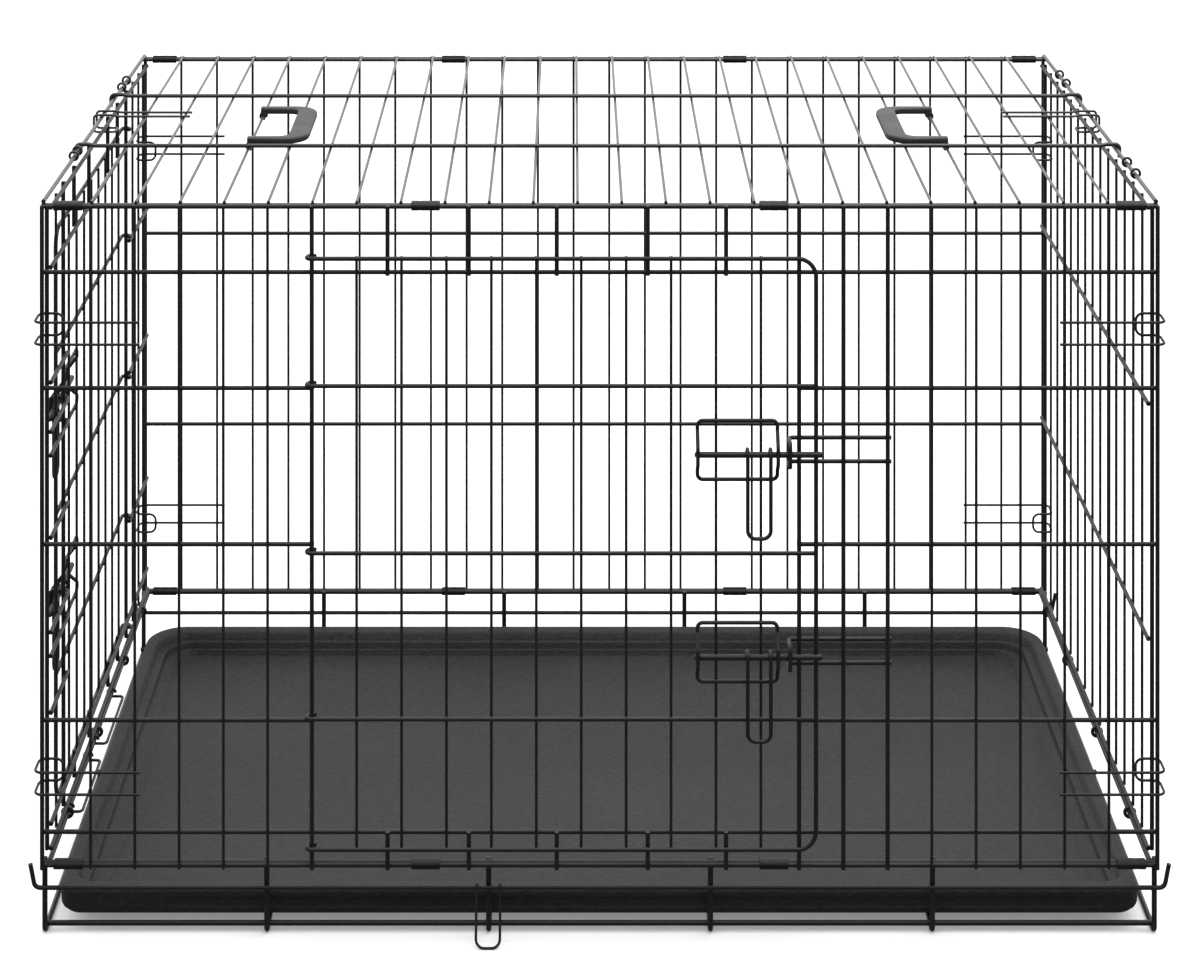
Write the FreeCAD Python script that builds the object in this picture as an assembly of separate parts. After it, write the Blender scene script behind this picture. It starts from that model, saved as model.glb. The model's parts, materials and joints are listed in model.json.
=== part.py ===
import FreeCAD, Part
import math
import os

# Folding wire dog crate. Origin on the ground under the middle of the base, +X to the
# crate's right, +Y to its back, +Z up. The front panel faces -Y.

# ---- driving dimensions, mm ----
LENGTH = 1215.0            # between the corner wires, left to right
DEPTH = 715.0              # between the front and back wire planes
RAIL_D = 5.8               # base wires and the rails that carry the hinge clips
FRAME_D = 4.8              # crossbars, door frames and thick uprights
FILL_D = 3.2               # thin uprights
CATCH_D = 2.9              # hairpin catches, stow loop and tray loops
LATCH_D = 4.2              # latch brackets, drop loops and end hinge curls
KEEPER_D = 4.6             # keepers that take the bolts
BOLT_D = 6.5               # sliding bolts
SINK = 0.2                 # how far welded wires sink into each other
GAP = 0.4                  # running clearance around hinge wires

BASE_RAIL_Z = 80.8         # top rail of the base
BASE_MID_Z = 53.0          # middle rail of the base
RAIL_PITCH = 5.5           # between the two side-by-side rails that a hinge clip joins
PANEL_H = 719.0            # bottom rail to top rail of the front and back panels
BAYS = 25                  # bays along the long panels
BAY = 48.25                # pitch of the long panels' uprights
END_BAYS = 14              # bays along the end panels
END_INSET = 22.2           # end panel's corner wire, behind the front wire plane
CROSS_WIRES = 6            # bent cross wires under the base
BEND_R = 6.0               # inside the base wires' bends, to the wire's centre

ROWS = (0.0, 36.5, 158.5, 350.5, 521.0, 647.5, PANEL_H)   # crossbars of a panel with a door
BACK_ROWS = (0.0, 225.0, 483.0, PANEL_H)                  # crossbars of the back panel
DOOR_ROWS = (22.0, 164.0, 344.5, 526.5, 665.0)            # crossbars of a door
BOLT_ROWS = (234.0, 454.0)                                # bolts, above the panel's bottom rail
DOOR_LAP = 18.0            # how far a door laps over its latch post
DOOR_CORNER_R = 20.0       # rounded free corners of a door

BOLT_TRAVEL = 43.0         # how far a bolt slides
TOP_BARS = (230.0, 472.0)  # top panel's crossbars, behind the front wire plane
BACK_SHIFT = 3.8           # how far the back panel's thin uprights stand to the left
FRONT_CATCHES = (93.0, 583.0)   # corner catches, above the panel's bottom rail
BACK_CATCHES = (100.0, 600.0)
LEFT_EYES = (193.0, 216.0, 528.0, 565.0)    # wire eyes on the top's side wires, behind the front
RIGHT_EYES = (118.0, 166.0, 549.0, 597.0)
EYE_R = 4.9
EYE_D = 3.0
CLIP_L = 31.0              # hinge clip, along the rail
CLIP_WALL = 1.2            # sheet that the clips are rolled from
CLIP_X = (-580.0, -190.0, 190.0, 580.0)
TRAY_X = 1190.0            # tray, over its rim
TRAY_Y = 665.0
TRAY_TOP = 42.0            # top of the tray's rim
TRAY_WALL = 2.5            # tray moulding
TRAY_FRONT_R = 20.0        # tray's corners in plan
TRAY_BACK_R = 48.0
HANDLE_SPAN = 143.0        # between the handle's arms
HANDLE_BACK = 318.5        # middle of the handles, behind the front wire plane
HANDLE_REACH = 68.0        # pivot wire to the outside of the grip
HANDLE_GRIP = 24.0         # width of the grip
HANDLE_ARM = 12.0          # width of an arm
HANDLE_T = 8.0             # thickness

# inside of the tray: height, then how far in from the rim at the ends and at the long sides
TRAY_STEPS = ((14.5, 44.0, 31.0), (22.0, 36.0, 29.0), (23.0, 28.0, 27.5), (31.0, 27.0, 26.0),
              (32.0, 18.0, 23.0), (40.5, 15.0, 20.5), (43.0, 14.0, 19.5))
# tray's outer skirt: height, then how far in from the rim
TRAY_SKIRT = ((12.4, 9.0), (15.0, 5.0), (19.0, 1.8), (25.0, 0.4), (TRAY_TOP, 0.0))

# ---- worked out from them ----
FRONT = -DEPTH / 2
BACK = DEPTH / 2
ROW_IN = (FILL_D + FRAME_D) / 2 - SINK               # crossbars, inside the thin uprights
BASE_IN = ROW_IN + RAIL_PITCH                        # base and top rails, inside the wire plane
UPSTAND_IN = BASE_IN + RAIL_D - SINK                 # base upstands, inside the wire plane
MID_D = RAIL_D - 1.0                                 # middle rail of the base
MID_IN = UPSTAND_IN - (RAIL_D + MID_D) / 2 + SINK    # middle rail, outside the upstands
PANEL_Z = BASE_RAIL_Z                                # bottom rail of the front and back panels
TOP_RAIL_Z = PANEL_Z + PANEL_H                       # top panel's long rails
TOP_WIRE_Z = TOP_RAIL_Z + (FRAME_D + FILL_D) / 2 - SINK
TOP_BAR_Z = TOP_WIRE_Z + (FILL_D + FRAME_D) / 2 - SINK
SIDE_X = LENGTH / 2 - RAIL_D + SINK                  # base side rails, the end panels' hinge
END_RAIL_Z = BASE_RAIL_Z + (RAIL_D + FRAME_D) / 2 + LATCH_D + GAP - SINK
END_PLANE_X = SIDE_X + (FILL_D + FRAME_D) / 2 - SINK
END_BAY = (DEPTH - 2 * END_INSET) / END_BAYS
END_LOW = END_RAIL_Z - PANEL_Z                       # end panels' bottom and top rails, above
END_HIGH = PANEL_H - 6.0                             # the long panels' bottom rail
OVER = FRAME_D / 2 - 0.3                             # how far wires run past the rails they cross
THICK_IN = ROW_IN - FRAME_D + SINK                   # thick uprights, against the same crossbars
HOOK_R = FRAME_D + GAP                               # door hooks around the hinge post
DOOR_IN = THICK_IN - HOOK_R                          # door crossbars
DOOR_FILL_IN = DOOR_IN + ROW_IN                      # door uprights
BOLT_IN = DOOR_IN - (FRAME_D + BOLT_D) / 2 - GAP     # bolt axis
BOW_IN = BOLT_IN - (BOLT_D + LATCH_D) / 2 - GAP      # bracket legs, in front of the bolt

PARTS = {}


def vec(x, y, z):
    return FreeCAD.Vector(x, y, z)


def rod(start, end, diameter):
    """A straight round wire between two points."""
    a = vec(*start)
    b = vec(*end)
    run = b - a
    return Part.makeCylinder(diameter / 2, run.Length, a, run)


def along_x(x0, x1, y, z, diameter):
    return rod((x0, y, z), (x1, y, z), diameter)


def along_y(x, y0, y1, z, diameter):
    return rod((x, y0, z), (x, y1, z), diameter)


def along_z(x, y, z0, z1, diameter):
    return rod((x, y, z0), (x, y, z1), diameter)


def bend_path(points, radius):
    """Straight runs through the points, with a tangent arc at each inner one."""
    pts = [vec(*p) for p in points]
    edges = []
    last = pts[0]
    for before, corner, after in zip(pts, pts[1:], pts[2:]):
        u = (before - corner).normalize()
        w = (after - corner).normalize()
        half = u.getAngle(w) / 2
        cut = radius / math.tan(half)
        middle = (u + w).normalize()
        centre = corner + middle * (radius / math.sin(half))
        start = corner + u * cut
        end = corner + w * cut
        if (start - last).Length > 1e-4:
            edges.append(Part.LineSegment(last, start).toShape())
        edges.append(Part.Arc(start, centre - middle * radius, end).toShape())
        last = end
    if (pts[-1] - last).Length > 1e-4:
        edges.append(Part.LineSegment(last, pts[-1]).toShape())
    return Part.Wire(edges)


def bent(points, radius, diameter):
    """A round wire bent through the points."""
    path = bend_path(points, radius)
    start = vec(*points[0])
    tangent = (vec(*points[1]) - start).normalize()
    circle = Part.Wire([Part.Circle(start, tangent, diameter / 2).toShape()])
    pipe = path.makePipeShell([circle], True, True)
    return pipe


def ring(centre, axis, radius, diameter, start_deg=0.0, sweep_deg=360.0):
    """Part of a ring of wire, with its angles counted from the +X or +Y side."""
    torus = Part.makeTorus(radius, diameter / 2, vec(0, 0, 0), vec(0, 0, 1), 0, 360, sweep_deg)
    torus.rotate(vec(0, 0, 0), vec(0, 0, 1), start_deg)
    if axis == "x":
        torus.rotate(vec(0, 0, 0), vec(1, 1, 1), 120)
    elif axis == "y":
        torus.rotate(vec(0, 0, 0), vec(1, 0, 0), 90)
    torus.translate(vec(*centre))
    return torus


def mirrored(shapes, normal):
    return [s.mirror(vec(0, 0, 0), vec(*normal)) for s in shapes]


def add(name, shapes):
    PARTS.setdefault(name, []).extend(shapes)


def turned(shapes, origin, angle_deg):
    """Shapes made in a panel's own frame, stood at their place on the crate."""
    out = []
    for shape in shapes:
        moved = shape.copy()
        moved.rotate(vec(0, 0, 0), vec(0, 0, 1), angle_deg)
        moved.translate(vec(*origin))
        out.append(moved)
    return out


# ---- base ----
def cross_wire_x():
    step = LENGTH / (CROSS_WIRES - 1)
    return [-LENGTH / 2 + i * step for i in range(CROSS_WIRES)]


def base():
    r = RAIL_D / 2
    up_y = BACK - UPSTAND_IN
    wires = []
    for x in cross_wire_x():
        wires.append(along_y(x, -up_y + BEND_R, up_y - BEND_R, r, RAIL_D))
        upstand = bent([(x, up_y - BEND_R, r), (x, up_y, r), (x, up_y, BASE_RAIL_Z + r)],
                       BEND_R - 0.001, RAIL_D)
        wires.append(upstand)
        wires.extend(mirrored([upstand], (0, 1, 0)))
    add("base_cross_wires", wires)
    rail_y = BACK - BASE_IN
    half = LENGTH / 2 + r
    for side, name in ((-1, "front"), (1, "back")):
        add("base_" + name + "_rail", [along_x(-half, half, side * rail_y, BASE_RAIL_Z, RAIL_D)])
        add("base_" + name + "_mid_rail", mid_rail(side * (BACK - MID_IN)))
        floor_y = side * (up_y - BEND_R)
        add("base_floor_rails", [along_x(-half, half, floor_y, 3 * r - SINK, RAIL_D)])
    add("base_floor_rails", [along_x(-half, half, 0.0, 3 * r - SINK, RAIL_D)])
    reach = rail_y - r + SINK / 2
    for side in (-1, 1):
        add("base_side_rails", [along_y(side * SIDE_X, -reach, reach, BASE_RAIL_Z, RAIL_D)])


def mid_rail(y):
    """The base's middle rail, with both ends turned up outside the corner upstands."""
    straight = LENGTH / 2
    past = straight + 10.0
    hook = bent([(straight, y, BASE_MID_Z), (past, y, BASE_MID_Z), (past + 5.0, y, BASE_MID_Z + 26.0)],
                7.0, MID_D)
    return [along_x(-straight, straight, y, BASE_MID_Z, MID_D), hook] + mirrored([hook], (1, 0, 0))


def clips(side, z):
    """Rolled sheet clips that wrap two side-by-side rails, open along their length."""
    inner = RAIL_D / 2 + GAP / 2
    y_out = side * (BACK - ROW_IN)
    y_in = side * (BACK - BASE_IN)
    shapes = []
    for x in CLIP_X:
        solid = stadium(x, min(y_out, y_in), z, inner + CLIP_WALL)
        shapes.append(solid.cut(stadium(x, min(y_out, y_in), z, inner)))
    return shapes


def stadium(x, y_low, z, radius):
    """A lying bar with half-round edges, around the two rails."""
    start = x - CLIP_L / 2
    y_high = y_low + RAIL_PITCH
    low = [vec(start, y_low, z + radius), vec(start, y_low - radius, z), vec(start, y_low, z - radius)]
    high = [vec(start, y_high, z - radius), vec(start, y_high + radius, z), vec(start, y_high, z + radius)]
    edges = [Part.Arc(*low).toShape(), Part.LineSegment(low[2], high[0]).toShape(),
             Part.Arc(*high).toShape(), Part.LineSegment(high[2], low[0]).toShape()]
    return Part.Face(Part.Wire(edges)).extrude(vec(CLIP_L, 0, 0))


# ---- panels with a door, in their own frame: x along, y inwards, z up from the bottom rail ----
def uprights(places, thick, posts, rows):
    """Uprights, left out over the door opening between the two posts."""
    ends = (rows[0] - OVER, rows[-1] + OVER)
    wires = []
    for i, x in enumerate(places):
        if posts and posts[0] < i < posts[1]:
            continue
        if i in thick:
            wires.append(along_z(x, THICK_IN, *ends, FRAME_D))
        else:
            wires.append(along_z(x, 0.0, *ends, FILL_D))
    return wires


def stubs(places, posts, offsets, rows):
    """Short thick uprights above and below the door opening."""
    wires = []
    for offset in offsets:
        x = places[posts[0]] + offset
        wires.append(along_z(x, THICK_IN, rows[0] - OVER, rows[1] + OVER, FRAME_D))
        wires.append(along_z(x, THICK_IN, rows[-2] - OVER, rows[-1] + OVER, FRAME_D))
    return wires


def crossbars(places, posts, rows):
    """Crossbars; those beside the door opening stop at its posts."""
    left = places[0] - OVER
    right = places[-1] + OVER
    bars = []
    for i, z in enumerate(rows):
        if posts and 1 < i < len(rows) - 2:
            bars.append(along_x(left, places[posts[0]] + OVER, ROW_IN, z, FRAME_D))
            bars.append(along_x(places[posts[1]] - OVER, right, ROW_IN, z, FRAME_D))
        else:
            bars.append(along_x(left, right, ROW_IN, z, FRAME_D))
    return bars


def door_frame(width):
    """Bottom and top bars, the free upright and its two rounded corners."""
    low = DOOR_ROWS[0]
    high = DOOR_ROWS[-1]
    turn = width - DOOR_CORNER_R
    parts = [along_x(0.0, turn, DOOR_IN, z, FRAME_D) for z in (low, high)]
    parts.append(along_z(width, DOOR_IN, low + DOOR_CORNER_R, high - DOOR_CORNER_R, FRAME_D))
    for z, start in ((low + DOOR_CORNER_R, 270.0), (high - DOOR_CORNER_R, 0.0)):
        parts.append(ring((turn, DOOR_IN, z), "y", DOOR_CORNER_R, FRAME_D, start, 90.0))
    return parts


def door_wires(width, fills):
    """Inner crossbars and thin uprights of a door."""
    wires = []
    for z in DOOR_ROWS[1:-1]:
        wires.append(along_x(0.0, width - FRAME_D / 2 + SINK, DOOR_IN, z, FRAME_D - 0.2))
    step = (width - DOOR_LAP * 0.6) / (fills + 1)
    for i in range(fills):
        x = step * (i + 1)
        wires.append(along_z(x, DOOR_FILL_IN, DOOR_ROWS[0] - 1.5, DOOR_ROWS[-1] + 1.5, FILL_D))
    return wires


def door_hooks():
    """Ends of the door's crossbars, curled around the hinge post."""
    return [ring((0.0, THICK_IN, z), "z", HOOK_R, FRAME_D, 50.0, 220.0) for z in DOOR_ROWS]


def latch_bracket(width, z):
    """A wire ring welded to the door's uprights; its legs bow out around the bolt."""
    x0 = width - 129.0
    x1 = width - 42.0
    weld = DOOR_FILL_IN - (FILL_D + LATCH_D) / 2 + SINK
    low = z - 29.0
    high = z + 35.0
    legs = []
    for x in (x0, x1):
        legs.append(bent([(x, weld, low + 6.0), (x, weld, low + 10.0), (x, BOW_IN, z - 9.0),
                          (x, BOW_IN, z + 9.0), (x, weld, high - 10.0), (x, weld, high - 6.0)],
                         3.0, LATCH_D))
    for end, side in ((low, -1), (high, 1)):
        inner = end - side * 6.0
        legs.append(bent([(x0, weld, inner), (x0, weld, end), (x1, weld, end), (x1, weld, inner)],
                         5.9, LATCH_D))
    return legs


def keeper(post_x, reach, z):
    """A hairpin welded behind the uprights; its closed end loops out around the bolt's tip."""
    behind = (FILL_D + KEEPER_D) / 2 - SINK
    bow = BOLT_IN - (BOLT_D + KEEPER_D) / 2 - GAP
    near = post_x - 5.5
    left = post_x - 11.0
    spread = 13.0
    parts = []
    for side in (-1, 1):
        leg_z = z + side * spread
        parts.append(along_x(near + 4.0, post_x + reach, behind, leg_z, KEEPER_D))
        parts.append(bent([(near + 4.0, behind, leg_z), (left, behind, leg_z),
                           (left, bow, leg_z), (left, bow, z)], 5.0, KEEPER_D))
    return parts


def bolt(width, z):
    return along_x(width - 132.6, width + 6.6, BOLT_IN, z, BOLT_D)


def drop_loop(width, z):
    """A wire loop that hangs from the bolt, both ends curled around it."""
    x0 = width - 75.0
    x1 = width - 50.0
    radius = (BOLT_D + LATCH_D) / 2 + GAP
    front = BOLT_IN - radius
    low = z - 89.0
    parts = [ring((x, BOLT_IN, z), "x", radius, LATCH_D, -45.0, 225.0) for x in (x0, x1)]
    parts.extend([along_z(x, front, low + 9.0, z, LATCH_D) for x in (x0, x1)])
    parts.append(bent([(x0, front, low + 9.0), (x0, front, low), (x1, front, low),
                       (x1, front, low + 9.0)], 8.9, LATCH_D))
    return parts


def hinged_panel(prefix, door, places, thick, posts, stub_offsets, fills, reach, put, rows):
    """A panel with its door and latches; put stands a list of shapes at their place."""
    hinge_x = places[posts[0]]
    width = places[posts[1]] - hinge_x + DOOR_LAP
    shift = vec(hinge_x, 0, 0)

    def on_hinge(shapes):
        for s in shapes:
            s.translate(shift)
        return put(shapes)

    add(prefix + "_uprights", put(uprights(places, thick, posts, rows)))
    add(prefix + "_door_surround", put(stubs(places, posts, stub_offsets, rows)))
    add(prefix + "_crossbars", put(crossbars(places, posts, rows)))
    add(prefix + "_keepers", put([s for z in BOLT_ROWS for s in keeper(places[posts[1]], reach, z)]))
    add(door + "_frame", on_hinge(door_frame(width)))
    add(door + "_wires", on_hinge(door_wires(width, fills)))
    add(door + "_hinge_hooks", on_hinge(door_hooks()))
    for name, z in zip(("lower", "upper"), BOLT_ROWS):
        add(door + "_bracket_" + name, on_hinge(latch_bracket(width, z)))
        add(door + "_bolt_" + name, on_hinge([bolt(width, z)]))
        add(door + "_drop_loop_" + name, on_hinge(drop_loop(width, z)))


def long_places():
    first = -BAY * (BAYS - 2) / 2
    return [-LENGTH / 2] + [first + BAY * i for i in range(BAYS - 1)] + [LENGTH / 2]


def front_panel():
    def put(shapes):
        return turned(shapes, (0, FRONT, PANEL_Z), 0.0)
    hinged_panel("front", "front_door", long_places(), (0, 6, 17, 18, 19, 25), (6, 17),
                 (82.5, 171.0, 266.8, 365.9, 451.2), 10, 101.0, put, ROWS)


def back_panel():
    places = [x + BACK_SHIFT if abs(x) < LENGTH / 2 else x for x in long_places()]
    wires = uprights(places, (0, BAYS), None, BACK_ROWS)
    add("back_uprights", turned(wires, (0, BACK, PANEL_Z), 180.0))
    add("back_crossbars", turned(crossbars(places, None, BACK_ROWS), (0, BACK, PANEL_Z), 180.0))


def left_end():
    places = [END_BAY * i for i in range(END_BAYS + 1)]
    rows = (END_LOW,) + ROWS[1:-1] + (END_HIGH,)

    def put(shapes):
        return turned(shapes, (-END_PLANE_X, BACK - END_INSET, PANEL_Z), -90.0)
    hinged_panel("left_end", "end_door", places, (0, 3, 12, 14), (3, 12),
                 (66.0, 137.0, 268.0, 365.0), 8, 98.5, put, rows)
    add("left_end_hinge_curls", hinge_curls(-1))


def right_end():
    places = [END_BAY * i for i in range(END_BAYS + 1)]
    rows = (END_LOW,) + tuple(z + END_LOW + 5.0 for z in BACK_ROWS[1:-1]) + (END_HIGH,)
    origin = (END_PLANE_X, FRONT + END_INSET, PANEL_Z)
    add("right_end_uprights", turned(uprights(places, (0, END_BAYS), None, rows), origin, 90.0))
    add("right_end_crossbars", turned(crossbars(places, None, rows), origin, 90.0))
    add("right_end_hinge_curls", hinge_curls(1))


def hinge_curls(side):
    """Rings under an end panel's bottom rail that turn on the base's side rail."""
    radius = (RAIL_D + LATCH_D) / 2 + GAP
    curls = []
    for i in (2, 6, 10, 13):
        y = FRONT + END_INSET + END_BAY * i
        start = 60.0 if side > 0 else -220.0
        curls.append(ring((side * SIDE_X, y, BASE_RAIL_Z), "y", radius, LATCH_D, start, 340.0))
    return curls


# ---- top panel ----
def top_panel():
    places = long_places()
    rail_y = BACK - BASE_IN
    over = rail_y + OVER
    wires = []
    for i, x in enumerate(places):
        thick = i in (0, BAYS)
        z = TOP_WIRE_Z + (FRAME_D - FILL_D) / 2 if thick else TOP_WIRE_Z
        wires.append(along_y(x, -over, over, z, FRAME_D if thick else FILL_D))
    add("top_wires", wires)
    for side in (-1, 1):
        add("top_rails", [along_x(-LENGTH / 2 - 2.0, LENGTH / 2 + 2.0, side * rail_y, TOP_RAIL_Z, FRAME_D)])
    for back in TOP_BARS:
        add("top_crossbars", top_bar(FRONT + back))
    for side, backs in ((-1, LEFT_EYES), (1, RIGHT_EYES)):
        for back in backs:
            add("top_edge_eyes", [edge_eye(side, FRONT + back)])


def top_bar(y):
    """A crossbar over the top wires, with both ends turned down at the sides."""
    bar_z = TOP_WIRE_Z + (FRAME_D - FILL_D) / 2 + FRAME_D - SINK
    out = LENGTH / 2 + 5.0
    inner = LENGTH / 2 - 30.0
    parts = [along_x(-inner, inner, y, TOP_BAR_Z, FRAME_D)]
    for side in (-1, 1):
        parts.append(bent([(side * inner, y, TOP_BAR_Z), (side * (inner + 12.0), y, TOP_BAR_Z),
                           (side * (inner + 20.0), y, bar_z), (side * out, y, bar_z),
                           (side * out, y, TOP_RAIL_Z - 6.0)], 5.0, FRAME_D))
    return parts


def edge_eye(side, y):
    """A small wire eye that hangs outwards on a side wire of the top panel."""
    z = TOP_WIRE_Z + (FRAME_D - FILL_D) / 2
    off = (EYE_R - (EYE_D + FRAME_D) / 2 + 0.05) * math.sqrt(0.5)
    return ring((side * (LENGTH / 2 + off), y, z + off), "y", EYE_R, EYE_D)


def strap(reach, width, radius):
    """A flat bar from x = 0, its two far corners rounded."""
    bar = Part.makeBox(reach, width, HANDLE_T, vec(0, -width / 2, 0))
    far = [e for e in bar.Edges if all(v.X > reach - 0.1 for v in e.Vertexes)
           and abs(e.Vertexes[0].Z - e.Vertexes[1].Z) > 0.1]
    return bar.makeFillet(radius, far)


def handles():
    """Moulded carrying handles: a flat strap in a C, its two arms ending in eyes on a top wire."""
    bore = FILL_D / 2 + GAP
    lip = 5.0
    outer = strap(HANDLE_REACH + lip, HANDLE_SPAN + HANDLE_ARM, 26.0)
    window = strap(HANDLE_REACH + lip - HANDLE_GRIP, HANDLE_SPAN - HANDLE_ARM, 8.0)
    body = outer.cut(window)
    body.translate(vec(-lip, 0, bore))
    for y in (-HANDLE_SPAN / 2, HANDLE_SPAN / 2):
        body = body.fuse(Part.makeCylinder(bore + 3.0, HANDLE_ARM, vec(0, y - HANDLE_ARM / 2, 0), vec(0, 1, 0)))
    body = body.cut(Part.makeCylinder(bore, 200.0, vec(0, -100.0, 0), vec(0, 1, 0)))
    body.translate(vec(long_places()[4], FRONT + HANDLE_BACK, TOP_WIRE_Z))
    left = body.removeSplitter()
    add("handle_left", [left])
    add("handle_right", mirrored([left], (1, 0, 0)))


# ---- catches ----
def corner_catch(z):
    """A hairpin on the front right corner: two legs on the outside that wrap the corner."""
    places = long_places()
    out = THICK_IN - (FRAME_D + CATCH_D) / 2 + SINK
    start = places[-3] - 6.0
    end = LENGTH / 2 + 8.0
    back = END_INSET + (FRAME_D + CATCH_D) / 2 + 1.0
    tip = end - 26.0
    spread = 12.0
    parts = []
    for side in (-1, 1):
        leg = z + side * spread
        parts.append(along_x(start, end - 9.0, out, leg, CATCH_D))
        parts.append(bent([(end - 9.0, out, leg), (end, out, leg), (end, back, leg),
                           (tip, back, leg), (tip, back, z)], 8.0, CATCH_D))
    return parts


def corner_catches():
    for name, side, heights in (("front", 1, FRONT_CATCHES), ("back", -1, BACK_CATCHES)):
        for z in heights:
            right = turned(corner_catch(z), (0, FRONT, PANEL_Z), 0.0)
            pair = right + mirrored(right, (1, 0, 0))
            add(name + "_corner_catches", pair if side > 0 else mirrored(pair, (0, 1, 0)))


def top_catch():
    """A hairpin over the right end of the top that holds the end panel's top rail."""
    z = TOP_WIRE_Z + (FILL_D + CATCH_D) / 2 - SINK
    end = LENGTH / 2 + 9.0
    y = FRONT + END_INSET + END_BAY * 7.5
    low = PANEL_Z + END_HIGH - (FRAME_D + CATCH_D) / 2 - 2.5
    tip = end - 26.0
    parts = []
    for side in (-1, 1):
        leg = y + side * 10.0
        parts.append(along_x(end - 118.0, LENGTH / 2 - 30.0, leg, z, CATCH_D))
        lift = z + FRAME_D - FILL_D
        parts.append(bent([(LENGTH / 2 - 30.0, leg, z), (LENGTH / 2 - 22.0, leg, z),
                           (LENGTH / 2 - 14.0, leg, lift), (end, leg, lift), (end, leg, low),
                           (tip, leg, low), (tip, y, low)], 4.0, CATCH_D))
    return parts


# ---- tray and small loops ----
def tray():
    """A moulded tray: flat floor, stepped walls, a flat rim and a skirt that curls under."""
    well = lofted([outline(z, ends, sides) for z, ends, sides in TRAY_STEPS])
    under = [outline(z - TRAY_WALL, ends - TRAY_WALL, sides - TRAY_WALL) for z, ends, sides in TRAY_STEPS]
    body = lofted(under[:-1] + [outline(TRAY_TOP, *TRAY_STEPS[-2][1:])])
    rim = Part.Face(outline(TRAY_TOP - TRAY_WALL, 0.0, 0.0)).extrude(vec(0, 0, TRAY_WALL))
    skirt = lofted([outline(z, inset, inset) for z, inset in TRAY_SKIRT])
    hollow = [(z - 0.1 if z > TRAY_TOP - 1.0 else z, inset + TRAY_WALL) for z, inset in TRAY_SKIRT]
    hollow = [(TRAY_SKIRT[0][0] - 0.5, hollow[0][1])] + hollow
    skirt = skirt.cut(lofted([outline(z, inset, inset) for z, inset in hollow]))
    return body.fuse([rim, skirt]).cut(well).removeSplitter()


def outline(z, ends, sides):
    """The tray's rounded rectangle at one height, drawn in from the rim at its ends and sides."""
    hx = TRAY_X / 2 - ends
    hy = TRAY_Y / 2 - sides
    front = TRAY_FRONT_R
    back = TRAY_BACK_R - ends * 0.5
    corners = ((hx, -hy, front), (hx, hy, back), (-hx, hy, back), (-hx, -hy, front))
    edges = []
    for i, (x, y, r) in enumerate(corners):
        sx = math.copysign(1.0, x)
        sy = math.copysign(1.0, y)
        on_side = vec(x, y - sy * r, z)
        on_end = vec(x - sx * r, y, z)
        middle = vec(x - sx * r * (1 - math.sqrt(0.5)), y - sy * r * (1 - math.sqrt(0.5)), z)
        if i % 2 == 0:
            on_side, on_end = on_end, on_side
        edges.append((on_side, middle, on_end))
    lines = []
    for i, (first, middle, last) in enumerate(edges):
        lines.append(Part.Arc(first, middle, last).toShape())
        lines.append(Part.LineSegment(last, edges[(i + 1) % 4][0]).toShape())
    return Part.Wire(lines)


def lofted(wires):
    return Part.makeLoft(wires, True, True)


def stow_loop():
    """A small loop on the front middle rail, leaning out until its tip lies on the ground."""
    wire_d = CATCH_D
    radius = (MID_D + wire_d) / 2 + GAP
    x_mid = cross_wire_x()[2]
    axis_y = FRONT + MID_IN
    reach = 57.9
    parts = [ring((x_mid + s * 13.0, axis_y, BASE_MID_Z), "x", radius, wire_d, -90.0, 270.0)
             for s in (-1, 1)]
    front = axis_y - radius
    low = BASE_MID_Z - reach
    for s in (-1, 1):
        parts.append(along_z(x_mid + s * 13.0, front, low + 9.0, BASE_MID_Z, wire_d))
    parts.append(bent([(x_mid - 13.0, front, low + 9.0), (x_mid - 13.0, front, low),
                       (x_mid + 13.0, front, low), (x_mid + 13.0, front, low + 9.0)], 8.9, wire_d))
    drop = (BASE_MID_Z - wire_d / 2 - 0.05) / math.hypot(radius, reach)
    lean = math.degrees(math.acos(drop) - math.atan2(radius, reach))
    for p in parts:
        p.rotate(vec(0, axis_y, BASE_MID_Z), vec(1, 0, 0), -lean)
    return parts


def tray_loop(y0, y1):
    """A flat loop on the left side rail that lies in over the tray's edge."""
    wire_d = CATCH_D + 0.3
    radius = (RAIL_D + wire_d) / 2 + GAP
    z = BASE_RAIL_Z - radius
    x0 = -SIDE_X
    reach = x0 + 14.5
    parts = [ring((x0, y, BASE_RAIL_Z), "y", radius, wire_d, 0.0, 270.0) for y in (y0, y1)]
    parts.append(bent([(x0, y0, z), (reach, y0, z), (reach, y1, z), (x0, y1, z)], 5.0, wire_d))
    return parts


# ---- assembly ----
def build():
    base()
    for side, name in ((-1, "front"), (1, "back")):
        add("base_" + name + "_clips", clips(side, BASE_RAIL_Z))
        add("top_" + name + "_clips", clips(side, TOP_RAIL_Z))
    front_panel()
    back_panel()
    left_end()
    right_end()
    top_panel()
    corner_catches()
    right_catch = top_catch()
    add("top_catches", right_catch + mirrored(right_catch, (1, 0, 0)))
    handles()
    add("tray", [tray()])
    add("stow_loop", stow_loop())
    add("tray_loop_front", tray_loop(FRONT + 129.0, FRONT + 249.0))
    add("tray_loop_back", tray_loop(FRONT + 290.0, FRONT + 412.0))


def main():
    build()
    os.makedirs("parts", exist_ok=True)
    for name, solids in PARTS.items():
        shape = solids[0] if len(solids) == 1 else Part.makeCompound(solids)
        for solid in shape.Solids:
            if not solid.isValid() or solid.Volume <= 0:
                print("bad solid in", name, solid.Volume)
        shape.exportStep(os.path.join("parts", name + ".step"))
        box = shape.BoundBox
        print(name, len(shape.Solids), round(shape.Volume), [round(v, 1) for v in (
            box.XMin, box.YMin, box.ZMin, box.XMax, box.YMax, box.ZMax)])


main()
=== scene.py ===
import json
import math
import random

import bmesh
import bpy
from mathutils import Matrix, Vector


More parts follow.
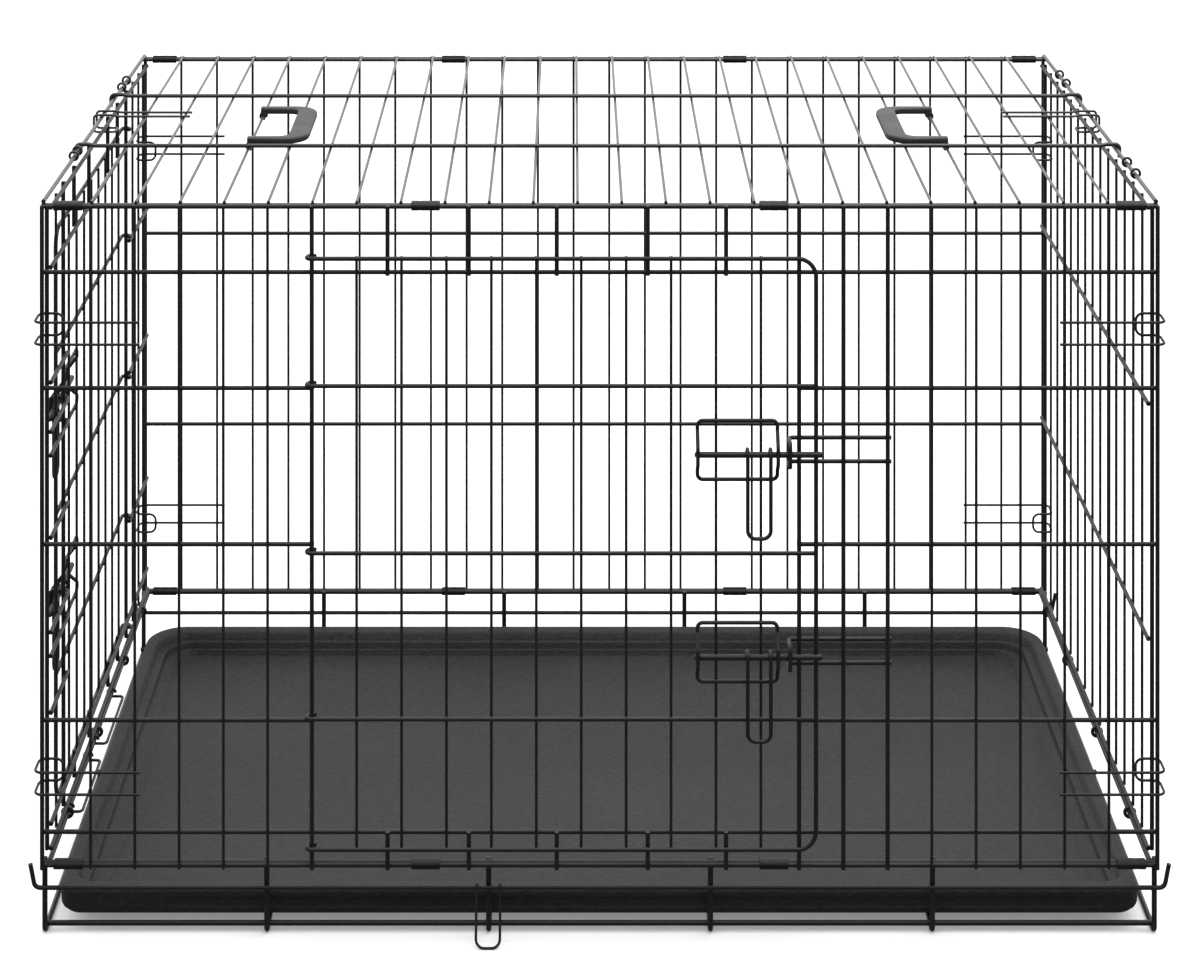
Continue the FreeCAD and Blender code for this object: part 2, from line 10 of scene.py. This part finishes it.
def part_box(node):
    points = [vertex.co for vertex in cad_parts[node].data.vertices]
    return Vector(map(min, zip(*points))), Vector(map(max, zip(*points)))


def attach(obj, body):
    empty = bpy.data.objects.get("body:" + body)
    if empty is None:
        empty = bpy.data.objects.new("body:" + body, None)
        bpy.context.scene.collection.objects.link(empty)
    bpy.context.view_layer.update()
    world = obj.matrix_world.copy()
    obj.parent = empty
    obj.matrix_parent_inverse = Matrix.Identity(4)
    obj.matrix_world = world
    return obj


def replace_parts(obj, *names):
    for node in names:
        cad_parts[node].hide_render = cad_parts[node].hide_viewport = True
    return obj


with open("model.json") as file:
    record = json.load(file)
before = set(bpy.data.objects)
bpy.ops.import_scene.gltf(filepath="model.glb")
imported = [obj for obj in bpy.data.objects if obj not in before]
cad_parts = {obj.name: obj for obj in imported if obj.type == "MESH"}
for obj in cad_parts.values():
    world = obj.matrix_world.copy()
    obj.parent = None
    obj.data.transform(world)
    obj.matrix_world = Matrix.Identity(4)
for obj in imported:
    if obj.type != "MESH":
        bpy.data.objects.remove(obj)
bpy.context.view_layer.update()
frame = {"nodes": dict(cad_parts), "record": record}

NODES = frame["nodes"]
BODIES = frame["record"]["behaviour"]["bodies"]
MM = 0.001
random.seed(7)       # the weld beads' sizes

# ---- camera ----
EYE = Vector((-0.031, -3.3055, 1.634))     # where the camera stands
AIM = Vector((0.0106, 1.0, -0.3840))       # through the middle of the picture, picture plane upright
TIP = math.radians(0.124)                  # the picture plane leans forward this much
LENS = 81.25                               # lens for the upright picture plane, on a 36 mm sensor

# ---- tray, in millimetres ----
TRAY_WALL = 2.5
TRAY_FRONT_R = 20.0
TRAY_BACK_R = 48.0
# inside of the tray: height over its floor, then how far in from the rim at the ends and the sides
TRAY_INSIDE = ((0.0, 44.0, 31.0), (7.5, 36.0, 29.0), (8.5, 28.0, 27.5), (16.5, 27.0, 26.0),
               (17.5, 18.0, 23.0), (26.0, 15.0, 20.5), (27.5, 13.0, 18.5))
# flat top of the rim: how far in, then how far down
TRAY_RIM = ((6.0, 0.0), (3.0, 0.0), (1.0, 0.6))
# outside of the skirt: height over its foot, how far in from the rim, how much of the recess it takes
TRAY_SKIRT = ((27.0, 0.1, 0.0), (22.0, 0.1, 0.0), (20.6, 0.1, 1.0), (11.4, 0.3, 1.0), (10.0, 0.5, 0.0),
              (6.6, 1.8, 0.0), (2.6, 5.0, 0.0), (0.4, 9.0, 0.0))
RECESS = (-0.47, 0.552)        # the shallow recess along the front of the skirt, from end to end
RECESS_DEPTH = 1.6 * MM
RECESS_RAMP = 5 * MM           # the recess reaches its depth over this length
CORNER_STEPS = 12
FRONT_STEPS = 160

# ---- handles ----
GRIP_W = 24.0 * MM
ARM_W = 12.0 * MM
STRAP_T = 7.8 * MM
EYE_R = 5.0 * MM
EYE_BORE = 2.1 * MM
EYE_START = -20.0              # where the roll of an eye starts, and how far it goes round, in degrees
EYE_SWEEP = 316.0
STRAP_EDGE = 2.6 * MM
STRAP_START = -3 * MM          # the strap starts this far behind the eye's middle
OUTER_R = 30 * MM
INNER_R = 12 * MM
RIDGE_PITCH = 9.0
RIDGE_LIFT = 0.3 * MM
# one ridge across its width: sideways in millimetres, then height in lifts
RIDGE = ((-1.2, -0.8), (-0.6, 0.3), (0.0, 0.6), (0.6, 0.3), (1.2, -0.8), (0.0, -1.0))

# ---- clips, welds and bolts ----
SHEET = 0.9 * MM
CRIMPS = (0.3, 0.7)            # along a clip, as parts of its length
CRIMP_DEPTH = 0.05
CRIMP_WIDTH = 0.06
CLIP_STEPS = 24
BEAD = 2.15 * MM
WIRE_MOST = 7.0 * MM           # no wire is thicker
WIRE_LEAST = 15.0 * MM         # a straight wire is at least this long
TOUCH = 0.15 * MM              # wires this near each other are welded
OVERLAP_MOST = 1.0 * MM        # wires that share more than this don't cross
DOME_STEPS = 6
ROUND_STEPS = 24


# ---- node groups: what several finishes share ----
def new_group(name, inputs, outputs):
    group = bpy.data.node_groups.new(name, "ShaderNodeTree")
    for label, kind, value in inputs:
        socket = group.interface.new_socket(name=label, in_out="INPUT", socket_type=kind)
        socket.default_value = value
    for label, kind in outputs:
        group.interface.new_socket(name=label, in_out="OUTPUT", socket_type=kind)
    source = group.nodes.new("NodeGroupInput")
    sink = group.nodes.new("NodeGroupOutput")
    return group, source, sink


def feed(tree, socket, value):
    """Gives a socket a plain number, or links another socket to it."""
    if isinstance(value, float):
        socket.default_value = value
    else:
        tree.links.new(value, socket)


def noise(tree, vector, scale, detail=2.0, roughness=0.5):
    node = tree.nodes.new("ShaderNodeTexNoise")
    node.inputs["Detail"].default_value = detail
    node.inputs["Roughness"].default_value = roughness
    tree.links.new(vector, node.inputs["Vector"])
    feed(tree, node.inputs["Scale"], scale)
    return node.outputs["Fac"]


def math_node(tree, operation, a, b):
    node = tree.nodes.new("ShaderNodeMath")
    node.operation = operation
    feed(tree, node.inputs[0], a)
    feed(tree, node.inputs[1], b)
    return node.outputs[0]


def spread(tree, value, low, high):
    """Stretches the middle of a noise to the range from low to high."""
    node = tree.nodes.new("ShaderNodeMapRange")
    node.inputs["From Min"].default_value = 0.3
    node.inputs["From Max"].default_value = 0.7
    feed(tree, node.inputs["To Min"], low)
    feed(tree, node.inputs["To Max"], high)
    tree.links.new(value, node.inputs["Value"])
    return node.outputs[0]


def mottle_group():
    """Two colours mixed in soft clouds with fine specks, and a roughness that follows them."""
    group, source, sink = new_group(
        "mottle",
        [("Dark", "NodeSocketColor", (0.01, 0.01, 0.01, 1)),
         ("Pale", "NodeSocketColor", (0.03, 0.03, 0.03, 1)),
         ("Cloud Scale", "NodeSocketFloat", 9.0), ("Speck Scale", "NodeSocketFloat", 420.0),
         ("Stretch", "NodeSocketVector", (1.0, 1.0, 1.0)),
         ("Smooth", "NodeSocketFloat", 0.35), ("Rough", "NodeSocketFloat", 0.5)],
        [("Color", "NodeSocketColor"), ("Roughness", "NodeSocketFloat")])
    place = group.nodes.new("ShaderNodeTexCoord").outputs["Object"]
    drawn = group.nodes.new("ShaderNodeVectorMath")
    drawn.operation = "MULTIPLY"
    group.links.new(place, drawn.inputs[0])
    group.links.new(source.outputs["Stretch"], drawn.inputs[1])
    clouds = noise(group, drawn.outputs[0], source.outputs["Cloud Scale"], 4.0, 0.6)
    specks = noise(group, drawn.outputs[0], source.outputs["Speck Scale"], 1.0)
    both = math_node(group, "ADD", math_node(group, "MULTIPLY", clouds, 0.6),
                     math_node(group, "MULTIPLY", specks, 0.4))
    mix = group.nodes.new("ShaderNodeMix")
    mix.data_type = "RGBA"
    colour_in = [s for s in mix.inputs if s.type == "RGBA"]
    colour_out = [s for s in mix.outputs if s.type == "RGBA"][0]
    group.links.new(spread(group, both, 0.0, 1.0), mix.inputs[0])
    group.links.new(source.outputs["Dark"], colour_in[0])
    group.links.new(source.outputs["Pale"], colour_in[1])
    group.links.new(colour_out, sink.inputs["Color"])
    rough = spread(group, clouds, source.outputs["Smooth"], source.outputs["Rough"])
    group.links.new(rough, sink.inputs["Roughness"])
    return group


def orange_peel_group():
    """The faint ripple and pips of a dipped coat."""
    group, source, sink = new_group(
        "orange_peel", [("Scale", "NodeSocketFloat", 700.0), ("Pips", "NodeSocketFloat", 0.3)],
        [("Height", "NodeSocketFloat")])
    place = group.nodes.new("ShaderNodeTexCoord").outputs["Object"]
    ripple = noise(group, place, source.outputs["Scale"], 2.0)
    pips = noise(group, place, math_node(group, "MULTIPLY", source.outputs["Scale"], 3.1), 0.0)
    sharp = math_node(group, "POWER", pips, 3.0)
    height = math_node(group, "ADD", ripple, math_node(group, "MULTIPLY", sharp, source.outputs["Pips"]))
    group.links.new(height, sink.inputs["Height"])
    return group


def pebble_group():
    """Moulded pebble grain: rounded cells over a slow waviness."""
    group, source, sink = new_group(
        "pebble_grain", [("Cells", "NodeSocketFloat", 520.0), ("Waviness", "NodeSocketFloat", 0.4)],
        [("Height", "NodeSocketFloat")])
    place = group.nodes.new("ShaderNodeTexCoord").outputs["Object"]
    cells = group.nodes.new("ShaderNodeTexVoronoi")
    group.links.new(source.outputs["Cells"], cells.inputs["Scale"])
    group.links.new(place, cells.inputs["Vector"])
    dome = math_node(group, "SUBTRACT", 1.0, math_node(group, "POWER", cells.outputs["Distance"], 2.0))
    wave = noise(group, place, 14.0, 2.0)
    height = math_node(group, "ADD", dome, math_node(group, "MULTIPLY", wave, source.outputs["Waviness"]))
    group.links.new(height, sink.inputs["Height"])
    return group


MOTTLE = mottle_group()
ORANGE_PEEL = orange_peel_group()
PEBBLE = pebble_group()


# ---- finishes ----
EVEN = (1.0, 1.0, 1.0)
LENGTHWISE = (0.4, 1.0, 1.0)      # a grain drawn out along the tray


def place_group(tree, group, values):
    """Puts a shared effect in a material with that material's own values."""
    node = tree.nodes.new("ShaderNodeGroup")
    node.node_tree = group
    for label, value in values.items():
        node.inputs[label].default_value = value
    return node


def finish(name, mottle, relief, relief_values, bump, depth, specular):
    """A finish whose colour and roughness come from the mottle and whose grain feeds a bump."""
    mat = bpy.data.materials.new(name)
    mat.use_nodes = True
    tree = mat.node_tree
    shader = tree.nodes["Principled BSDF"]
    shader.inputs["Specular IOR Level"].default_value = specular
    tones = place_group(tree, MOTTLE, mottle)
    tree.links.new(tones.outputs["Color"], shader.inputs["Base Color"])
    tree.links.new(tones.outputs["Roughness"], shader.inputs["Roughness"])
    texture = place_group(tree, relief, relief_values)
    bumps = tree.nodes.new("ShaderNodeBump")
    bumps.inputs["Strength"].default_value = bump
    bumps.inputs["Distance"].default_value = depth
    tree.links.new(texture.outputs["Height"], bumps.inputs["Height"])
    tree.links.new(bumps.outputs["Normal"], shader.inputs["Normal"])
    return mat


def coat(name, dark, pale, smooth, rough, clouds, specks, scale, pips, bump, depth, specular):
    """A dipped coat on steel."""
    mottle = {"Dark": (*dark, 1), "Pale": (*pale, 1), "Smooth": smooth, "Rough": rough,
              "Cloud Scale": clouds, "Speck Scale": specks, "Stretch": EVEN}
    return finish(name, mottle, ORANGE_PEEL, {"Scale": scale, "Pips": pips}, bump, depth, specular)


def plastic(name, dark, pale, smooth, rough, clouds, specks, stretch, cells, wave, bump, depth, specular):
    """A moulded plastic with a pebble grain."""
    mottle = {"Dark": (*dark, 1), "Pale": (*pale, 1), "Smooth": smooth, "Rough": rough,
              "Cloud Scale": clouds, "Speck Scale": specks, "Stretch": stretch}
    return finish(name, mottle, PEBBLE, {"Cells": cells, "Waviness": wave}, bump, depth, specular)


FINISHES = {
    "wire_coat": coat(
        "wire_coat", dark=(0.006, 0.006, 0.0055), pale=(0.014, 0.014, 0.013), smooth=0.34, rough=0.5,
        clouds=11.0, specks=500.0, scale=650.0, pips=0.35, bump=0.35, depth=0.00012, specular=0.42),
    # The top wires wear the same dipped coat as the other wires; the paler colours of this coat are
    # painted sheen, standing in for the bright reflections that the top wires catch.
    "top_wire_coat": coat(
        "top_wire_coat", dark=(0.012, 0.012, 0.0115), pale=(0.03, 0.03, 0.029), smooth=0.2, rough=0.34,
        clouds=9.0, specks=420.0, scale=600.0, pips=0.3, bump=0.3, depth=0.00012, specular=0.8),
    "clip_coat": coat(
        "clip_coat", dark=(0.003, 0.003, 0.003), pale=(0.008, 0.008, 0.0075), smooth=0.36, rough=0.5,
        clouds=30.0, specks=700.0, scale=900.0, pips=0.5, bump=0.4, depth=0.0001, specular=0.3),
    "tray_plastic": plastic(
        "tray_plastic", dark=(0.019, 0.019, 0.0175), pale=(0.052, 0.052, 0.049), smooth=0.5, rough=0.7,
        clouds=4.5, specks=330.0, stretch=LENGTHWISE, cells=430.0, wave=0.8, bump=0.8, depth=0.0006,
        specular=0.15),
    "handle_plastic": plastic(
        "handle_plastic", dark=(0.014, 0.014, 0.0135), pale=(0.03, 0.03, 0.0285), smooth=0.42, rough=0.58,
        clouds=25.0, specks=600.0, stretch=EVEN, cells=900.0, wave=0.2, bump=0.5, depth=0.0003,
        specular=0.7),
}


def coat_nodes():
    """Every CAD node takes the finish that its record names."""
    for part in frame["record"]["subparts"]:
        mesh = NODES[part["node"]].data
        mesh.materials.clear()
        mesh.materials.append(FINISHES[part["material_slot"]])


# ---- mesh helpers ----
def new_piece(name, bm, slot, body):
    """Makes a piece from a bmesh, gives it a finish and lets it ride a body."""
    mesh = bpy.data.meshes.new(name)
    bmesh.ops.recalc_face_normals(bm, faces=bm.faces)
    bm.to_mesh(mesh)
    bm.free()
    piece = bpy.data.objects.new(name, mesh)
    bpy.context.scene.collection.objects.link(piece)
    mesh.materials.append(FINISHES[slot])
    mesh.shade_smooth()
    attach(piece, body)
    return piece


def ease_edges(piece, width):
    """Rounds a piece's sharp edges."""
    bevel = piece.modifiers.new("edges", "BEVEL")
    bevel.width = width
    bevel.segments = 2
    bevel.limit_method = "ANGLE"
    bevel.angle_limit = math.radians(40)


def skin(bm, loops):
    """Joins rows of points, each a closed loop, with quads."""
    rows = [[bm.verts.new(p) for p in loop] for loop in loops]
    count = len(rows[0])
    for one, two in zip(rows, rows[1:]):
        for i in range(count):
            j = (i + 1) % count
            bm.faces.new((one[i], one[j], two[j], two[i]))
    return rows


def close_ends(bm, rows):
    """Closes the first and the last row."""
    bm.faces.new(rows[0])
    bm.faces.new(rows[-1])


def cap(bm, loop):
    """Closes a loop that may be hollow in shape."""
    bmesh.ops.triangulate(bm, faces=[bm.faces.new(loop)])


def box_of(node):
    low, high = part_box(node)
    return Vector(low), Vector(high)


# ---- reading the CAD solids ----
def solids_of(node):
    """The lowest and highest corners of each separate solid in a node."""
    mesh = NODES[node].data
    parent = {}

    def find(key):
        while parent[key] != key:
            parent[key] = parent[parent[key]]
            key = parent[key]
        return key

    keys = []
    for vertex in mesh.vertices:
        key = tuple(round(c, 6) for c in vertex.co)
        keys.append(key)
        parent.setdefault(key, key)
    for face in mesh.polygons:
        first = find(keys[face.vertices[0]])
        for index in face.vertices[1:]:
            parent[find(keys[index])] = first
    boxes = {}
    for key in parent:
        top = find(key)
        low, high = boxes.get(top, (key, key))
        boxes[top] = (tuple(map(min, low, key)), tuple(map(max, high, key)))
    return [(Vector(low), Vector(high)) for low, high in sorted(boxes.values())]


# ---- tray ----
def tray_level(low, high, ends, sides, z, draw=0.0):
    """One level of the tray: a rounded rectangle, with points along the front that can be drawn in."""
    x0, x1 = low.x + ends, high.x - ends
    y0, y1 = low.y + sides, high.y - sides
    front = TRAY_FRONT_R * MM
    back = TRAY_BACK_R * MM - ends * 0.5
    points = []
    corners = ((x1, y0, front, -90), (x1, y1, back, 0), (x0, y1, back, 90), (x0, y0, front, 180))
    for x, y, radius, start in corners:
        cx = x - math.copysign(radius, x)
        cy = y + radius if y == y0 else y - radius
        for step in range(CORNER_STEPS + 1):
            angle = math.radians(start + 90 * step / CORNER_STEPS)
            points.append(Vector((cx + radius * math.cos(angle), cy + radius * math.sin(angle), z)))
    span = (x1 - front) - (x0 + front)
    for i in range(1, FRONT_STEPS):
        x = x0 + front + span * i / FRONT_STEPS
        inside = min(x - RECESS[0], RECESS[1] - x) / RECESS_RAMP
        points.append(Vector((x, y0 + draw * max(0.0, min(1.0, inside)), z)))
    return points


def add_tray():
    """The moulding, from the middle of its floor over the rim, down the skirt and back underneath."""
    low, high = box_of("tray")
    wall = TRAY_WALL * MM
    floor = low.z + wall + 0.1 * MM
    rows = []
    for up, ends, sides in TRAY_INSIDE:
        rows.append(tray_level(low, high, ends * MM, sides * MM, floor + up * MM))
    for inset, down in TRAY_RIM:
        rows.append(tray_level(low, high, inset * MM, inset * MM, high.z - down * MM))
    for side, order in ((0.0, TRAY_SKIRT), (wall, TRAY_SKIRT[::-1])):
        for up, inset, recess in order:
            edge = inset * MM + side
            rows.append(tray_level(low, high, edge, edge, low.z + up * MM, RECESS_DEPTH * recess))
    for up, ends, sides in reversed(TRAY_INSIDE[:-1]):
        rows.append(tray_level(low, high, ends * MM - wall, sides * MM - wall, floor + up * MM - wall))
    bm = bmesh.new()
    close_ends(bm, skin(bm, rows))
    tray = new_piece("tray_moulding", bm, "tray_plastic", "tray")
    ease_edges(tray, 0.8 * MM)
    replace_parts(tray, "tray")


# ---- handles ----
def rounded_outline(points, radii, steps):
    """A polygon's outline with each corner rounded by its own radius."""
    out = []
    for i, corner in enumerate(points):
        radius = radii[i]
        if radius == 0:
            out.append(corner)
            continue
        before = (points[i - 1] - corner).normalized()
        after = (points[(i + 1) % len(points)] - corner).normalized()
        half = before.angle(after) / 2
        cut = radius / math.tan(half)
        centre = corner + (before + after).normalized() * (radius / math.sin(half))
        first = corner + before * cut - centre
        last = corner + after * cut - centre
        for k in range(steps + 1):
            out.append(centre + first.lerp(last, k / steps).normalized() * radius)
    return out


def strap_section(outer, inner, low, high):
    """The strap's section at one station: a flat bar with rounded edges."""
    across = outer - inner
    width = across.length
    across = across / width
    edge = STRAP_EDGE
    points = []
    for u, z, start in ((width - edge, high - edge, 0), (edge, high - edge, 90),
                        (edge, low + edge, 180), (width - edge, low + edge, 270)):
        for k in range(5):
            angle = math.radians(start + 22.5 * k)
            spot = inner + across * (u + edge * math.cos(angle))
            points.append(Vector((spot.x, spot.y, z + edge * math.sin(angle))))
    return points


def add_handle(node, inward):
    """A flat strap bent to a C in plan, with two eyes rolled over a top wire."""
    low, high = box_of(node)
    pivot = low.x + EYE_R if inward > 0 else high.x - EYE_R
    reach = high.x - low.x - EYE_R
    sides = []
    for rim, edge, radius in ((reach, 0.0, OUTER_R), (reach - GRIP_W, ARM_W, INNER_R)):
        y0, y1 = low.y + edge, high.y - edge
        corners = [Vector(p) for p in ((STRAP_START, y0), (rim, y0), (rim, y1), (STRAP_START, y1))]
        line = rounded_outline(corners, [0, radius, radius, 0], 12)
        sides.append([Vector((pivot + inward * p.x, p.y)) for p in line])
    stations = []
    for outer_point, inner_point in zip(*sides):
        stations.append(strap_section(outer_point, inner_point, high.z - STRAP_T, high.z))
    bm = bmesh.new()
    close_ends(bm, skin(bm, stations))
    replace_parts(new_piece(node + "_strap", bm, "handle_plastic", node), node)
    for side, y in (("near", low.y), ("far", high.y - ARM_W)):
        add_handle_eye("%s_%s_eye" % (node, side), node, Vector((pivot, y, low.z + EYE_R)), inward)
    add_grip_ridges(node, pivot + inward * reach, -inward, (low.y + high.y) / 2, high.z)


def add_handle_eye(name, body, corner, inward):
    """The rolled eye at an arm's end, open at a slot under the arm."""
    steps = 26
    section = []
    for radius, order in ((EYE_R, range(steps + 1)), (EYE_BORE, range(steps, -1, -1))):
        for k in order:
            angle = math.radians(EYE_START + EYE_SWEEP * k / steps)
            section.append((inward * radius * math.cos(angle), radius * math.sin(angle)))
    bm = bmesh.new()
    loops = [[corner + Vector((x, along, z)) for x, z in section] for along in (0.0, ARM_W)]
    for loop in skin(bm, loops):
        cap(bm, loop)
    ease_edges(new_piece(name, bm, "handle_plastic", body), 0.6 * MM)


def add_grip_ridges(body, edge, inward, middle, top):
    """Low ridges across the grip."""
    bm = bmesh.new()
    steps = 8
    for k in range(-5, 6):
        loops = []
        for step in range(steps + 1):
            rise = math.sin(math.pi * step / steps) - 1.65
            x = edge + inward * (4 + 16 * step / steps) * MM
            y = middle + k * RIDGE_PITCH * MM
            z = top + RIDGE_LIFT * rise
            loops.append([Vector((x, y + across * MM, z + RIDGE_LIFT * up)) for across, up in RIDGE])
        close_ends(bm, skin(bm, loops))
    new_piece(body + "_grip_ridges", bm, "handle_plastic", body)


# ---- rolled sheet clips ----
def rolled_path(pitch, radius, squeeze):
    """The middle of a sheet rolled round two rails, its free edge lapped over its start."""
    path = []
    for centre, start in ((-pitch / 2, math.pi / 2), (pitch / 2, -math.pi / 2)):
        for k in range(13):
            angle = start + math.pi * k / 12
            path.append(Vector((centre + radius * math.cos(angle), radius * math.sin(angle) * squeeze)))
    path.append(Vector((0, radius * squeeze + SHEET * 0.7)))
    path.append(Vector((-pitch / 2, radius * squeeze + SHEET * 0.95)))
    return path


def thickened(path):
    """Both sides of the sheet, as one closed outline."""
    one, other = [], []
    for i, point in enumerate(path):
        along = (path[min(i + 1, len(path) - 1)] - path[max(i - 1, 0)]).normalized()
        across = Vector((along.y, -along.x)) * (SHEET / 2)
        one.append(point + across)
        other.append(point - across)
    return one + other[::-1]


def add_clips(node):
    """The rolled clips on one edge, each crimped twice along its length."""
    low, high = box_of(node)
    height = high.z - low.z
    pitch = high.y - low.y - height
    radius = height / 2 - SHEET * 0.6
    middle = (low + high) / 2
    outwards = -1 if middle.y < 0 else 1
    bm = bmesh.new()
    for first, last in solids_of(node):
        loops = []
        for k in range(CLIP_STEPS + 1):
            u = k / CLIP_STEPS
            crimp = sum(math.exp(-((u - spot) / CRIMP_WIDTH) ** 2) for spot in CRIMPS)
            outline = thickened(rolled_path(pitch, radius, 1 - CRIMP_DEPTH * crimp))
            x = first.x + (last.x - first.x) * u
            loops.append([Vector((x, middle.y + outwards * p.x, middle.z + p.y)) for p in outline])
        made = skin(bm, loops)
        cap(bm, made[0])
        cap(bm, made[-1])
    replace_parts(new_piece(node + "_rolled", bm, "clip_coat", "crate"), node)


# ---- welds ----
def straight_wires(body):
    """Each straight wire of a body: its axis and its box."""
    wires = []
    for node in BODIES[body]:
        if node.endswith("_clips"):
            continue
        for low, high in solids_of(node):
            size = high - low
            thin = [i for i in range(3) if size[i] < WIRE_MOST]
            if len(thin) == 2 and max(size) > WIRE_LEAST:
                wires.append((3 - sum(thin), low, high))
    return wires


def add_welds(body):
    """A small flattened bead wherever two straight wires of a body cross and touch."""
    wires = straight_wires(body)
    bm = bmesh.new()
    for i, (axis, low, high) in enumerate(wires):
        for other, low2, high2 in wires[i + 1:]:
            if axis == other:
                continue
            a = Vector(map(max, low, low2))
            b = Vector(map(min, high, high2))
            across = 3 - axis - other
            if min(b - a) < -TOUCH or b[across] - a[across] > OVERLAP_MOST:
                continue
            size = BEAD * random.uniform(0.88, 1.15)
            scale = [size, size, size]
            scale[across] = size * random.uniform(0.55, 0.7)
            shape = Matrix.Translation((a + b) / 2) @ Matrix.Diagonal((*scale, 1.0))
            bmesh.ops.create_icosphere(bm, subdivisions=2, radius=1.0, matrix=shape)
    new_piece(body + "_weld_beads", bm, "wire_coat", body)


# ---- bolts ----
def add_bolt(node):
    """A round bolt with domed ends."""
    low, high = box_of(node)
    axis = 0 if high.x - low.x > high.y - low.y else 1
    radius = (high.z - low.z) / 2
    centre = (low + high) / 2
    dome = []
    for k in range(DOME_STEPS + 1):
        angle = math.pi / 2 * k / DOME_STEPS
        dome.append((radius * (1 - math.cos(angle)) * 0.8, max(radius * math.sin(angle), 0.02 * MM)))
    length = high[axis] - low[axis]
    stations = dome + [(length - along, r) for along, r in reversed(dome)]
    loops = []
    for along, r in stations:
        loop = []
        for k in range(ROUND_STEPS):
            angle = 2 * math.pi * k / ROUND_STEPS
            point = Vector((0, 0, centre.z + r * math.sin(angle)))
            point[axis] = low[axis] + along
            point[1 - axis] = centre[1 - axis] + r * math.cos(angle)
            loop.append(point)
        loops.append(loop)
    bm = bmesh.new()
    close_ends(bm, skin(bm, loops))
    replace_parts(new_piece(node + "_turned", bm, "wire_coat", node), node)


# ---- camera, floor and light ----
def add_camera():
    """A camera whose picture plane stays upright while it looks down, as a shifted lens does."""
    data = bpy.data.cameras.new("camera")
    cam = bpy.data.objects.new("camera", data)
    bpy.context.scene.collection.objects.link(cam)
    data.lens = LENS * AIM.length
    data.sensor_width = 36.0
    data.clip_start = 0.05
    data.clip_end = 60.0
    tip = Matrix.Rotation(-TIP, 3, "X")
    right = tip @ Vector((1, 0, 0))
    up = tip @ Vector((0, 0, 1))
    back = -(tip @ AIM.normalized())
    lean = Matrix((right, up, back)).transposed().to_4x4()
    lean.translation = EYE
    holder = bpy.data.objects.new("camera_holder", None)
    bpy.context.scene.collection.objects.link(holder)
    cam.parent = holder
    cam.matrix_parent_inverse = lean
    bpy.context.scene.camera = cam


def add_floor():
    """A white floor that the lights reach but that throws nothing back on the wires."""
    mesh = bpy.data.meshes.new("floor")
    half = 14.0
    corners = [(-half, -half, 0), (half, -half, 0), (half, half, 0), (-half, half, 0)]
    mesh.from_pydata(corners, [], [(0, 1, 2, 3)])
    floor = bpy.data.objects.new("floor", mesh)
    bpy.context.scene.collection.objects.link(floor)
    mat = bpy.data.materials.new("pale_floor")
    mat.use_nodes = True
    shader = mat.node_tree.nodes["Principled BSDF"]
    shader.inputs["Base Color"].default_value = (0.96, 0.96, 0.955, 1)
    shader.inputs["Roughness"].default_value = 0.9
    shader.inputs["Specular IOR Level"].default_value = 0.1
    shader.inputs["Emission Color"].default_value = (1, 1, 1, 1)
    shader.inputs["Emission Strength"].default_value = 0.22
    mesh.materials.append(mat)
    floor.visible_diffuse = False
    floor.visible_glossy = False


def area_light(name, place, target, size, power):
    data = bpy.data.lights.new(name, "AREA")
    data.shape = "RECTANGLE"
    data.size, data.size_y = size
    data.energy = power
    lamp = bpy.data.objects.new(name, data)
    bpy.context.scene.collection.objects.link(lamp)
    lamp.location = place
    lamp.rotation_euler = (Vector(target) - Vector(place)).to_track_quat("-Z", "Y").to_euler()


def add_light():
    """A bright ceiling and back wall that fade towards the front, with one soft box over the crate."""
    world = bpy.data.worlds.new("studio")
    bpy.context.scene.world = world
    world.use_nodes = True
    tree = world.node_tree
    room = tree.nodes["Background"]
    lean = tree.nodes.new("ShaderNodeVectorMath")
    lean.operation = "DOT_PRODUCT"
    lean.inputs[1].default_value = (0.0, 0.5, 1.0)
    ramp = tree.nodes.new("ShaderNodeValToRGB")
    backdrop = tree.nodes.new("ShaderNodeBackground")
    path = tree.nodes.new("ShaderNodeLightPath")
    mix = tree.nodes.new("ShaderNodeMixShader")
    tree.links.new(tree.nodes.new("ShaderNodeTexCoord").outputs["Generated"], lean.inputs[0])
    tree.links.new(lean.outputs["Value"], ramp.inputs["Fac"])
    walls, ceiling = ramp.color_ramp.elements
    walls.position = 0.0
    walls.color = (0.16, 0.16, 0.16, 1)
    ceiling.position = 0.5
    ceiling.color = (1, 1, 1, 1)
    tree.links.new(ramp.outputs["Color"], room.inputs["Color"])
    room.inputs["Strength"].default_value = 1.3
    backdrop.inputs["Color"].default_value = (1, 1, 1, 1)
    tree.links.new(path.outputs["Is Camera Ray"], mix.inputs[0])
    tree.links.new(room.outputs[0], mix.inputs[1])
    tree.links.new(backdrop.outputs[0], mix.inputs[2])
    tree.links.new(mix.outputs[0], tree.nodes["World Output"].inputs["Surface"])
    area_light("overhead", (0.4, -0.5, 2.9), (0.1, -0.1, 0.0), (2.2, 1.4), 34)


coat_nodes()
add_tray()
add_handle("handle_left", 1)
add_handle("handle_right", -1)
for node in ("base_front_clips", "base_back_clips", "top_front_clips", "top_back_clips"):
    add_clips(node)
for body in ("crate", "front_door", "left_end", "end_door", "right_end"):
    add_welds(body)
for node in sorted(NODES):
    if "_bolt_" in node:
        add_bolt(node)
add_camera()
add_floor()
add_light()
bpy.context.scene.view_settings.view_transform = "Standard"
